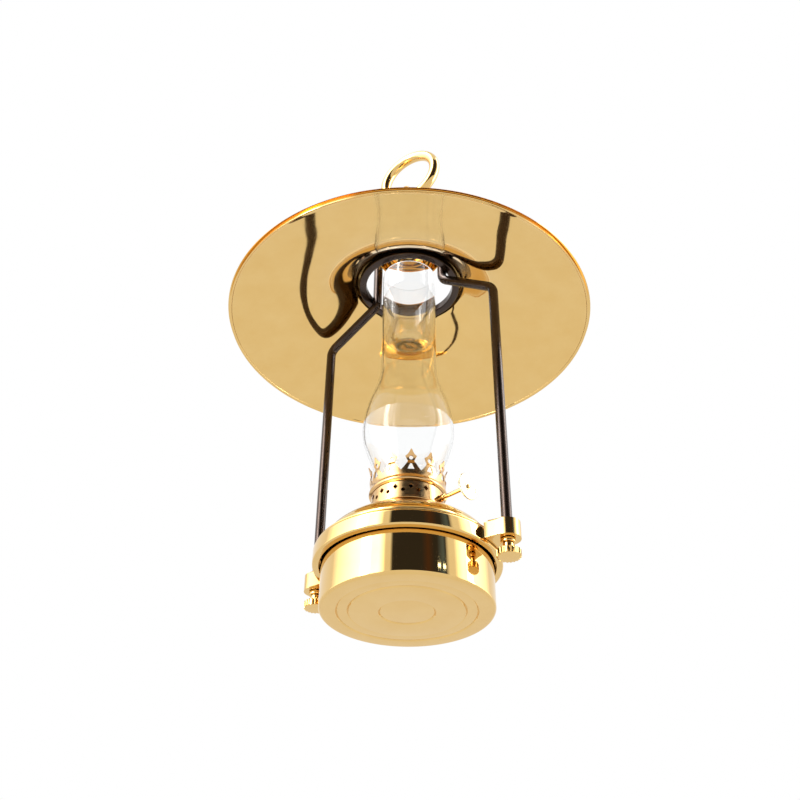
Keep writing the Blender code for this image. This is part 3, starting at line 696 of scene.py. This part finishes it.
def make_arm(side, name):
    node = "arm_" + name
    foot = top("ear_right") + GAP
    slant_low, slant_high = 215.1 * MM, 240.6 * MM
    corners = [Vector((side * x, 0, z)) for x, z in (
        (ARM_OFFSET, foot), (ARM_OFFSET, slant_low), (UPRIGHT_OFFSET, slant_high),
        (UPRIGHT_OFFSET, ARM_TOP_HEIGHT), (4.5 * MM, ARM_TOP_HEIGHT))]
    rod = []
    for k, radius in ((1, 9 * MM), (2, 8 * MM), (3, 10 * MM)):
        rod += fillet(corners[k], corners[k - 1], corners[k + 1], radius, 16)
    bevel = 0.35 * MM
    start = corners[0]
    up = Vector((0, 0, 1))
    lower = [Vector((start.x, 0, bottom(node))), Vector((start.x, 0, bottom(node) + bevel)),
             start.copy(), start + 0.01 * MM * up, start + bevel * up]
    lower_radii = [STUD_RADIUS - bevel, STUD_RADIUS, STUD_RADIUS, ROD_RADIUS - bevel, ROD_RADIUS]
    end = corners[-1]
    upper = [end + bevel * Vector((side, 0, 0)), end]
    path = [*lower, *rod, *upper]
    radii = [*lower_radii, *[ROD_RADIUS] * (len(rod) + 1), ROD_RADIUS - bevel]
    dress(sweep("arm", path, radii, 40), node, bronze)


def make_ring():
    inner, outer = 30.05 * MM, 35.3 * MM
    corners = [(inner, bottom("shade_ring"), 1.1 * MM), (outer, bottom("shade_ring"), 1.1 * MM),
               (outer, top("shade_ring"), 0.5 * MM), (inner, top("shade_ring"), 0.5 * MM)]
    dress(lathe("ring", soften(corners)), "shade_ring", bronze)


def make_hub():
    low, high = bottom("frame_hub"), top("frame_hub")
    corners = [(0, low, 0), (HUB_RADIUS, low, 1.2 * MM), (HUB_RADIUS, high, 1.6 * MM), (0, high, 0)]
    hub = lathe("hub", soften(corners), MEDIUM)
    cross = rod_between("cross", ROD_RADIUS + GAP, (-2 * HUB_RADIUS, 0, ARM_TOP_HEIGHT),
                        (2 * HUB_RADIUS, 0, ARM_TOP_HEIGHT), 40)
    screw = rod_between("screw", 2.3 * MM, (0, 0, low - MM), (0, 0, high + MM))
    brass_piece(cut(hub, cross, screw), "frame_hub")


def make_shade():
    """Flared shade: rolled rim, a crown that steepens inwards, a flat seat on the frame's ring."""
    wall = 0.9 * MM
    roll_radius = 1.6 * MM
    rim_height = 211.5 * MM
    seat = top("shade_ring") + GAP
    slope = math.radians(11)
    roll_middle = (SHADE_RADIUS - roll_radius, rim_height)
    foot_inset = 4.2 * MM
    foot = (SHADE_RADIUS - foot_inset, rim_height + foot_inset * math.tan(slope) - 0.6 * MM)
    crown = (38.8 * MM, 244.2 * MM)
    flare = [foot, (105 * MM, 214.8 * MM), (92 * MM, 217.4 * MM), (82 * MM, 219.7 * MM),
             (74 * MM, 222.0 * MM), (68 * MM, 224.1 * MM), (62 * MM, 226.8 * MM), (56 * MM, 230.4 * MM),
             (50 * MM, 234.8 * MM), (44 * MM, 239.8 * MM), crown]
    lip = soften([(*crown, 0), (37 * MM, 246 * MM, 1.2 * MM), (37 * MM, seat, 1.2 * MM),
                  (31.5 * MM, seat, 0)], closed=False)
    under = smooth_curve(flare, 6) + lip[1:]
    over = offset_outline(under, -wall)
    lower_side = 270 - math.degrees(slope)
    rolled = []
    for k in range(25):
        angle = math.radians(lower_side + 15 - 230 * k / 24)
        rolled.append((roll_middle[0] + roll_radius * math.cos(angle),
                       roll_middle[1] + roll_radius * math.sin(angle)))
    outline = [*under, *reversed(over), *reversed(rolled)]
    brass_piece(lathe("shade", outline, 2 * BIG), "shade", spun_brass)


def make_bell():
    """Smoke bell, the spacer above it and the screw that holds it to the hub."""
    bore = 2.4 * MM
    wall = 0.85 * MM
    rim_height = bottom("smoke_bell") + 0.5 * MM
    rise = top("smoke_bell") - rim_height
    outer = [(BELL_RADIUS - 0.4 * MM, rim_height - 0.5 * MM), (BELL_RADIUS, rim_height)]
    for k in range(31):
        angle = math.radians(90 * k / 30)
        outer.append((0.9 * MM + (BELL_RADIUS - 1.8 * MM) * math.cos(angle),
                      rim_height + 1.4 * MM + (rise - 1.4 * MM) * math.sin(angle)))
    outer = [p for p in outer if p[0] > bore]
    outer.append((bore, top("smoke_bell")))
    inner = offset_outline(outer[2:], wall)
    inner[-1] = (bore, top("smoke_bell") - wall)
    lip = (BELL_RADIUS - 1.6 * MM, rim_height - 0.3 * MM)
    brass_piece(lathe("bell", [lip, *outer, *reversed(inner)], MEDIUM), "smoke_bell", spun_brass)

    spacer = disc_outline(5 * MM, bottom("bell_spacer"), top("bell_spacer"), 0.5 * MM, bore)
    brass_piece(lathe("spacer", spacer, SMALL), "bell_spacer")
    low, high = bottom("bell_screw"), top("bell_screw")
    head_top = low + 2.2 * MM
    corners = [(0, low, 0), (2.6 * MM, low + 0.2 * MM, MM), (4 * MM, head_top - 0.9 * MM, 0.4 * MM),
               (4 * MM, head_top, 0.2 * MM), (2 * MM, head_top, 0), (2 * MM, high, 0.4 * MM), (0, high, 0)]
    screw = lathe("screw", soften(corners), SMALL)
    x, y = 5 * MM, 0.5 * MM
    slot = prism("slot", [(-x, -y), (x, -y), (x, y), (-x, y)], low - MM, low + MM)
    brass_piece(cut(screw, slot), "bell_screw")


def make_hanger():
    """Eye on a stem that is pinned into the hub, and the ring that swings in it."""
    low = bottom("hanging_eye")
    hub_top = top("frame_hub")
    pin, flange, neck = 2 * MM, 5.5 * MM, 3 * MM
    neck_top = EYE_HEIGHT - EYE_RADIUS
    corners = [(0, low, 0), (pin, low, 0.3 * MM), (pin, hub_top + GAP, 0),
               (flange, hub_top + GAP, 0.4 * MM), (flange, hub_top + 3 * MM, 0.8 * MM),
               (neck, hub_top + 5 * MM, 1.2 * MM), (neck, neck_top, 0), (0, neck_top, 0)]
    stem = lathe("stem", soften(corners), SMALL)
    eye = wire_ring("eye", EYE_RADIUS, EYE_WIRE_RADIUS, 72, 32)
    moved(eye, Matrix.Translation((0, 0, EYE_HEIGHT)) @ Matrix.Rotation(math.radians(90), 4, "Z"))
    brass_piece(combine(stem, [eye], "UNION"), "hanging_eye")

    ring = wire_ring("ring", HANG_RING_RADIUS, HANG_WIRE_RADIUS, 144, 40)
    brass_piece(moved(ring, Matrix.Translation((0, 0, EYE_HEIGHT + HANG_RING_RADIUS))), "hanging_ring")


# Burner

def make_burner_body():
    """Base with its plug, and the perforated drum on it."""
    radius = reach("burner_base")
    floor_top = BASE_BOTTOM + 0.8 * MM
    rim_top = floor_top + 0.6 * MM
    bore = PLUG_RADIUS - 1.2 * MM
    corners = [(bore, bottom("burner_base"), 0.2 * MM), (PLUG_RADIUS, bottom("burner_base"), 0.3 * MM),
               (PLUG_RADIUS, BASE_BOTTOM, 0), (radius, BASE_BOTTOM, 0.5 * MM),
               (radius, rim_top, 0.2 * MM), (radius - 0.5 * MM, rim_top, 0.2 * MM),
               (radius - 0.7 * MM, floor_top, 0), (bore, floor_top, 0.2 * MM)]
    brass_piece(lathe("base", soften(corners), MEDIUM), "burner_base", pressed_brass)

    wall = 0.5 * MM
    tube = disc_outline(DRUM_RADIUS, DRUM_BOTTOM, DRUM_TOP, 0.15 * MM, DRUM_RADIUS - wall)
    drum = lathe("drum", tube, BIG)
    pitch = 2 * math.pi / DRUM_HOLES
    round_hole = circle_outline((0, 67.4 * MM), 1.25 * MM, 16)
    diamond = [(1.7 * MM, 69.8 * MM), (0, 71.7 * MM), (-1.7 * MM, 69.8 * MM), (0, 67.9 * MM)]
    holes = []
    for k in range(DRUM_HOLES):
        angle = PRONG_PHASE + k * pitch
        away = (angle - WINDER_ANGLE + math.pi) % (2 * math.pi) - math.pi
        if abs(away) < 1.1 * pitch:
            continue
        holes.append(radial_prism(diamond if k % 2 else round_hole, DRUM_RADIUS, angle))
    spindle_hole = rod_between("spindle_hole", 2.4 * MM, (15 * MM, 0, 0), (30 * MM, 0, 0))
    moved(spindle_hole, winder_frame())
    brass_piece(cut(drum, joined("perforations", holes), spindle_hole), "burner_drum", pressed_brass)


def make_air_plate():
    """Disc across the burner with a slot for the wick tube and a circle of vents."""
    low, high = bottom("air_plate"), top("air_plate")
    plate = lathe("plate", disc_outline(reach("air_plate"), low, high, 0.1 * MM), MEDIUM)
    outline = stadium(WICK_WIDTH + 4 * MM, WICK_THICKNESS + 3.2 * MM)
    slot = turned(prism("slot", outline, low - MM, high + MM), WINDER_ANGLE)
    vents = []
    vent_circle = 15.5 * MM
    for k in range(12):
        vent = rod_between("vent", 1.4 * MM, (vent_circle, 0, low - MM), (vent_circle, 0, high + MM), 16)
        vents.append(turned(vent, math.radians(15 + 30 * k)))
    brass_piece(cut(plate, slot, joined("vents", vents)), "air_plate", pressed_brass)


def make_gallery():
    """Sheet crown that holds the glass: a beaded skirt and twelve pierced prongs."""
    skin = smooth_curve([(GALLERY_RADIUS - 1.1 * MM, GALLERY_BOTTOM),
                         (GALLERY_RADIUS + 0.2 * MM, GALLERY_BOTTOM + 1.4 * MM),
                         (GALLERY_RADIUS - 0.6 * MM, GALLERY_BOTTOM + 4.8 * MM),
                         (GALLERY_RADIUS - 0.2 * MM, 84.5 * MM),
                         (GALLERY_RADIUS - 0.9 * MM, 88 * MM),
                         (GALLERY_RADIUS + 0.9 * MM, PRONG_TOP)], 5)
    lining = offset_outline(skin, GALLERY_WALL)
    lining[0] = (skin[0][0], GALLERY_BOTTOM + GALLERY_WALL)
    hole = 13.5 * MM
    outline = [(hole, GALLERY_BOTTOM), *skin, *reversed(lining), (hole, GALLERY_BOTTOM + GALLERY_WALL)]
    gallery = lathe("gallery", outline, BIG)
    half_pitch = math.pi * GALLERY_RADIUS / PRONGS
    tip = half_pitch - 0.3 * MM
    head, waist = 3.6 * MM, 2.1 * MM
    valley = [(0, 80.6 * MM), (half_pitch - 4.3 * MM, 82.6 * MM), (half_pitch - waist, 86 * MM),
              (half_pitch - waist, 87.2 * MM), (half_pitch - head, 90 * MM),
              (half_pitch - 0.6 * head, 91 * MM), (half_pitch - 0.35 * head, 92.2 * MM), (tip, PRONG_TOP)]
    gap = [*valley, (tip, PRONG_TOP + 2 * MM)]
    gap += [(-x, z) for x, z in reversed(gap[1:])]
    window = soften([(-2.3 * MM, 80.9 * MM, 0.3 * MM), (2.3 * MM, 80.9 * MM, 0.3 * MM),
                     (0.35 * MM, 84.9 * MM, 0.2 * MM), (-0.35 * MM, 84.9 * MM, 0.2 * MM)])
    eyelet = circle_outline((0, 88.9 * MM), 1.35 * MM, 16)
    cuts = []
    for k in range(PRONGS):
        angle = PRONG_PHASE + 2 * math.pi * k / PRONGS
        cuts.append(radial_prism(gap, GALLERY_RADIUS, angle + math.pi / PRONGS))
        cuts.append(radial_prism(window, GALLERY_RADIUS, angle))
        cuts.append(radial_prism(eyelet, GALLERY_RADIUS, angle))
    brass_piece(cut(gallery, joined("cuts", cuts)), "gallery", pressed_brass)


def make_flame_spreader():
    """Slotted dome over the wick."""
    foot = bottom("flame_spreader")
    skin = smooth_curve([(17.2 * MM, foot), (15.8 * MM, foot + 1.5 * MM), (15.2 * MM, foot + 6 * MM),
                         (13.6 * MM, foot + 10.5 * MM), (10 * MM, foot + 13.8 * MM),
                         (5 * MM, foot + 15.6 * MM)], 5)
    wall = 0.5 * MM
    lining = offset_outline(skin, wall)
    lining[0] = (skin[0][0] - wall, foot)
    crown = [(0, foot + 16 * MM), (0, foot + 16 * MM - wall)]
    spreader = lathe("spreader", [*skin, *crown, *reversed(lining)], MEDIUM)
    opening = stadium(WICK_WIDTH + 3.2 * MM, WICK_THICKNESS + 3.4 * MM)
    slot = prism("slot", opening, foot + 11 * MM, foot + 18 * MM)
    brass_piece(cut(spreader, turned(slot, WINDER_ANGLE)), "flame_spreader", pressed_brass)


SPROCKETS = (-4.5 * MM, 4.5 * MM)


def make_wick_tube():
    wall = 0.5 * MM
    low, high = bottom("wick_tube"), top("wick_tube")
    outer = stadium(WICK_WIDTH + 2 * (GAP + wall), WICK_THICKNESS + 2 * (GAP + wall))
    inner = stadium(WICK_WIDTH + 2 * GAP, WICK_THICKNESS + 2 * GAP)
    tube = turned(prism("tube", outer, low, high, 0.12 * MM), WINDER_ANGLE)
    bore = turned(prism("bore", inner, low - MM, high + MM), WINDER_ANGLE)
    windows = []
    for place in SPROCKETS:
        outline = [(place - MM, -3 * MM), (place + MM, -3 * MM), (place + MM, MM), (place - MM, MM)]
        windows.append(moved(prism("window", outline, -2.6 * MM, 2.6 * MM), winder_frame()))
    brass_piece(cut(tube, bore, joined("windows", windows)), "wick_tube", pressed_brass)


def make_wick():
    """Flat cotton wick with rounded sides and a slightly frayed top."""
    node = "wick"
    outline = stadium(WICK_WIDTH, WICK_THICKNESS)
    low, high = bottom(node), top(node)
    bm = bmesh.new()
    rings = []
    levels = 60
    for j in range(levels + 1):
        share = j / levels
        ring = []
        for i, (x, y) in enumerate(outline):
            fray = 0.25 * MM * math.sin(2.7 * i) * max(0.0, share - 0.98) / 0.02
            ring.append(bm.verts.new((x, 0.97 * y, low + (high - low) * share - abs(fray))))
        rings.append(ring)
    skin_rings(bm, rings, closed=False)
    bm.faces.new(rings[0])
    bm.faces.new(rings[-1])
    wick = turned(finish_mesh(bm, "wick_mesh"), WINDER_ANGLE)
    dress(wick, node, cotton)


def make_winder():
    """Wick spindle with two sprockets, its knob, and the gland in the drum's wall."""
    radius, sprocket, pin = 1.2 * MM, 2.2 * MM, 0.7 * MM
    knob_radius, knob_distance, knob_half = 8.2 * MM, 43.5 * MM, 0.55 * MM
    shoulder = knob_distance + knob_half
    corners = [(0, -7.5 * MM, 0), (radius, -7.5 * MM, 0.2 * MM)]
    for x in SPROCKETS:
        corners += [(radius, x - 0.6 * MM, 0), (sprocket, x - 0.6 * MM, 0),
                    (sprocket, x + 0.6 * MM, 0), (radius, x + 0.6 * MM, 0)]
    corners += [(radius, knob_distance - knob_half - GAP, 0.2 * MM),
                (pin, knob_distance - knob_half - GAP, 0), (pin, shoulder + GAP, 0),
                (1.6 * MM, shoulder + GAP, 0.1 * MM), (1.2 * MM, shoulder + 0.9 * MM, 0.3 * MM),
                (0, shoulder + 1.1 * MM, 0)]
    brass_piece(along_winder(lathe("spindle", soften(corners), SMALL)), "wick_spindle")

    bore = pin + GAP
    edge = knob_radius - 0.1 * MM
    recess = knob_half - 0.3 * MM
    outline = soften([(bore, -knob_half, 0.1 * MM), (5.2 * MM, -knob_half, 0),
                      (5.5 * MM, -knob_half + 0.25 * MM, 0), (6.0 * MM, -knob_half, 0.1 * MM),
                      (edge, -knob_half, 0.5 * MM), (edge, knob_half, 0.5 * MM),
                      (knob_radius - 1.4 * MM, knob_half, 0.1 * MM),
                      (knob_radius - 1.7 * MM, recess, 0.1 * MM), (2.6 * MM, recess, 0.1 * MM),
                      (2.2 * MM, knob_half, 0.1 * MM), (bore, knob_half, 0.1 * MM)])
    rim = knob_radius - 0.3 * MM
    serrations = 60

    def ripple(i, angle):
        if outline[i][0] < rim:
            return 0.0
        return 0.1 * MM * math.cos(serrations * angle)

    knob = lathe("knob", outline, 6 * serrations, ripple)
    moved(knob, Matrix.Translation((0, 0, knob_distance)))
    dress(along_winder(knob), "wick_knob", pale_brass)

    gland_bore, gland_radius = radius + 0.1 * MM, 2.1 * MM
    start, end = 19.5 * MM, 26.5 * MM
    outline = soften([(gland_bore, start, 0), (gland_radius, start, 0.1 * MM),
                      (gland_radius, end, 0.5 * MM), (gland_bore, end, 0.1 * MM)])
    brass_piece(along_winder(lathe("gland", outline, SMALL)), "spindle_gland")


def make_chimney():
    """Blown glass: straight foot, bulge about the flame, long tube with fire-polished rims."""
    profile = [(19.3, 0), (19.4, 9), (20.2, 15.5), (21.7, 20.5), (25.2, 30.5), (27.8, 38.5), (28.8, 46.5),
               (28.2, 56), (26.2, 66), (23.4, 75), (20.6, 84), (18.8, 93), (18.3, 103), (18.3, 114)]
    skin = smooth_curve([(r * MM, CHIMNEY_BASE + h * MM) for r, h in profile], 5)
    lining = offset_outline(skin, GLASS_WALL)
    half = GLASS_WALL / 2

    def polished(middle_radius, middle_height, start):
        """Half circle that rounds off one rim of the glass."""
        angles = [start + math.pi * k / 10 for k in range(11)]
        return [(middle_radius + half * math.cos(a), middle_height + half * math.sin(a)) for a in angles]

    rim = polished(skin[-1][0] - half, CHIMNEY_TOP - half, 0.0)
    foot = polished(skin[0][0] - half, CHIMNEY_BASE + half, math.pi)
    outline = [*foot, *skin[1:], *rim, *reversed(lining[1:])]
    dress(lathe("chimney", outline, BIG), "chimney", glass)


make_tank()
make_carrier()
for arm_side, arm_name in ((-1, "left"), (1, "right")):
    make_arm(arm_side, arm_name)
    make_washer(arm_side, arm_name)
    make_nut(arm_side, arm_name)
make_ring()
make_hub()
make_shade()
make_bell()
make_hanger()
make_burner_body()
make_air_plate()
make_gallery()
make_flame_spreader()
make_wick_tube()
make_wick()
make_winder()
make_chimney()


# Studio

CAMERA_AZIMUTH = -58.1
CAMERA_DISTANCE = 524.7 * MM
CAMERA_DEPTH = 235.4 * MM
CAMERA_PITCH = 36.13
CAMERA_YAW = 0.60
CAMERA_ROLL = 0.71
LENS = 45.2
FLOOR_DEPTH = 620 * MM
FLOOR_RADIUS = 6.0
STUDIO_RADIUS = 2.6
LAMP_MIDDLE = 130 * MM
PANEL_STEPS = 48
WHITE = (1.0, 1.0, 1.0)
DARK = (0.034, 0.032, 0.034)
LEFT_LIGHT = (4.6, 4.6, 4.6)
RIGHT_LIGHT = (3.4, 3.4, 3.4)


def make_camera():
    camera = bpy.data.objects.new("Camera", bpy.data.cameras.new("Camera"))
    bpy.context.scene.collection.objects.link(camera)
    camera.data.lens = LENS
    camera.data.sensor_width = 36
    camera.data.clip_start = 0.01
    camera.data.clip_end = 50
    angle = math.radians(CAMERA_AZIMUTH)
    place = Vector((CAMERA_DISTANCE * math.cos(angle), CAMERA_DISTANCE * math.sin(angle), -CAMERA_DEPTH))
    heading = angle + math.pi / 2 + math.radians(CAMERA_YAW)
    turn = (Matrix.Rotation(heading, 4, "Z") @ Matrix.Rotation(math.radians(90 + CAMERA_PITCH), 4, "X")
            @ Matrix.Rotation(math.radians(CAMERA_ROLL), 4, "Z"))
    camera.matrix_world = Matrix.Translation(place) @ turn
    bpy.context.scene.camera = camera


def make_floor():
    bm = bmesh.new()
    bmesh.ops.create_circle(bm, cap_ends=True, segments=96, radius=FLOOR_RADIUS)
    floor = finish_mesh(bm, "floor")
    floor.location = (0, 0, -FLOOR_DEPTH)
    material, nodes, _ = new_material("floor_look")
    nodes["Principled BSDF"].inputs["Base Color"].default_value = (0.90, 0.90, 0.895, 1)
    nodes["Principled BSDF"].inputs["Roughness"].default_value = 0.9
    floor.data.materials.append(material)


def emitter(name, color, around):
    """Light of one colour, blended by the mesh's own fade with the colour around the panel."""
    material, nodes, links = new_material(name)
    nodes.remove(nodes["Principled BSDF"])
    fade = nodes.new("ShaderNodeAttribute")
    fade.attribute_name = "fade"
    mixed = mixed_color(nodes, links, fade.outputs["Fac"], around, color)
    glow = nodes.new("ShaderNodeEmission")
    links.new(mixed, glow.inputs["Color"])
    links.new(glow.outputs[0], nodes["Material Output"].inputs["Surface"])
    return material


def make_panel(name, azimuths, elevations, color, fades, around=WHITE, distance=STUDIO_RADIUS):
    """Curved studio panel, by its angles in degrees seen from the lamp; azimuth 0 is over the camera.

    fades says how many degrees its two upright edges take to blend with the colour around it.
    """
    bm = bmesh.new()
    rows = []
    turns = [azimuths[0] + (azimuths[1] - azimuths[0]) * k / PANEL_STEPS for k in range(PANEL_STEPS + 1)]
    for j in range(PANEL_STEPS + 1):
        elevation = math.radians(elevations[0] + (elevations[1] - elevations[0]) * j / PANEL_STEPS)
        row = []
        for turn in turns:
            azimuth = math.radians(CAMERA_AZIMUTH + turn)
            row.append(bm.verts.new((distance * math.cos(elevation) * math.cos(azimuth),
                                     distance * math.cos(elevation) * math.sin(azimuth),
                                     LAMP_MIDDLE + distance * math.sin(elevation))))
        rows.append(row)
    for lower, upper in zip(rows, rows[1:]):
        for k in range(PANEL_STEPS):
            bm.faces.new((lower[k], lower[k + 1], upper[k + 1], upper[k]))
    panel = finish_mesh(bm, name)
    fade = panel.data.attributes.new("fade", "FLOAT", "POINT")
    for index, point in enumerate(fade.data):
        turn = turns[index % len(turns)]
        point.value = max(0.0, min(1.0, (turn - azimuths[0]) / fades[0], (azimuths[1] - turn) / fades[1]))
    panel.data.materials.append(emitter(name + "_look", color, around))
    panel.visible_camera = False
    panel.visible_transmission = False
    panel.visible_shadow = False
    panel.visible_diffuse = False


def make_studio():
    scene = bpy.context.scene
    scene.view_settings.view_transform = "Standard"
    world = bpy.data.worlds.new("World")
    world.use_nodes = True
    world.node_tree.nodes["Background"].inputs["Color"].default_value = (1, 1, 1, 1)
    world.node_tree.nodes["Background"].inputs["Strength"].default_value = 1.0
    scene.world = world
    closer = 0.97 * STUDIO_RADIUS
    nearest = 0.94 * STUDIO_RADIUS
    make_panel("softbox_left", (-112, -28), (-5, 70), LEFT_LIGHT, (50, 8))
    make_panel("softbox_right", (62, 130), (-5, 70), RIGHT_LIGHT, (12, 34))
    make_panel("strip_left", (-62, -47), (-5, 70), (15.0, 15.0, 15.0), (4, 4), LEFT_LIGHT, closer)
    make_panel("strip_right", (80, 92), (-5, 70), (10.0, 10.0, 10.0), (3, 3), RIGHT_LIGHT, closer)
    make_panel("dark_panel", (-22, 54), (8, 62), DARK, (3, 6))
    make_panel("brown_streak", (18, 34), (9, 60), (0.075, 0.036, 0.020), (8, 8), DARK, closer)
    make_panel("cool_edge", (38, 50), (9, 60), (0.10, 0.15, 0.24), (8, 4), DARK, closer)
    for azimuth in (38, 45):
        make_panel("lamp", (azimuth, azimuth + 4), (19.2, 20.0), (6.4, 7.2, 8.0), (0.5, 0.5), DARK, nearest)


make_camera()
make_floor()
make_studio()
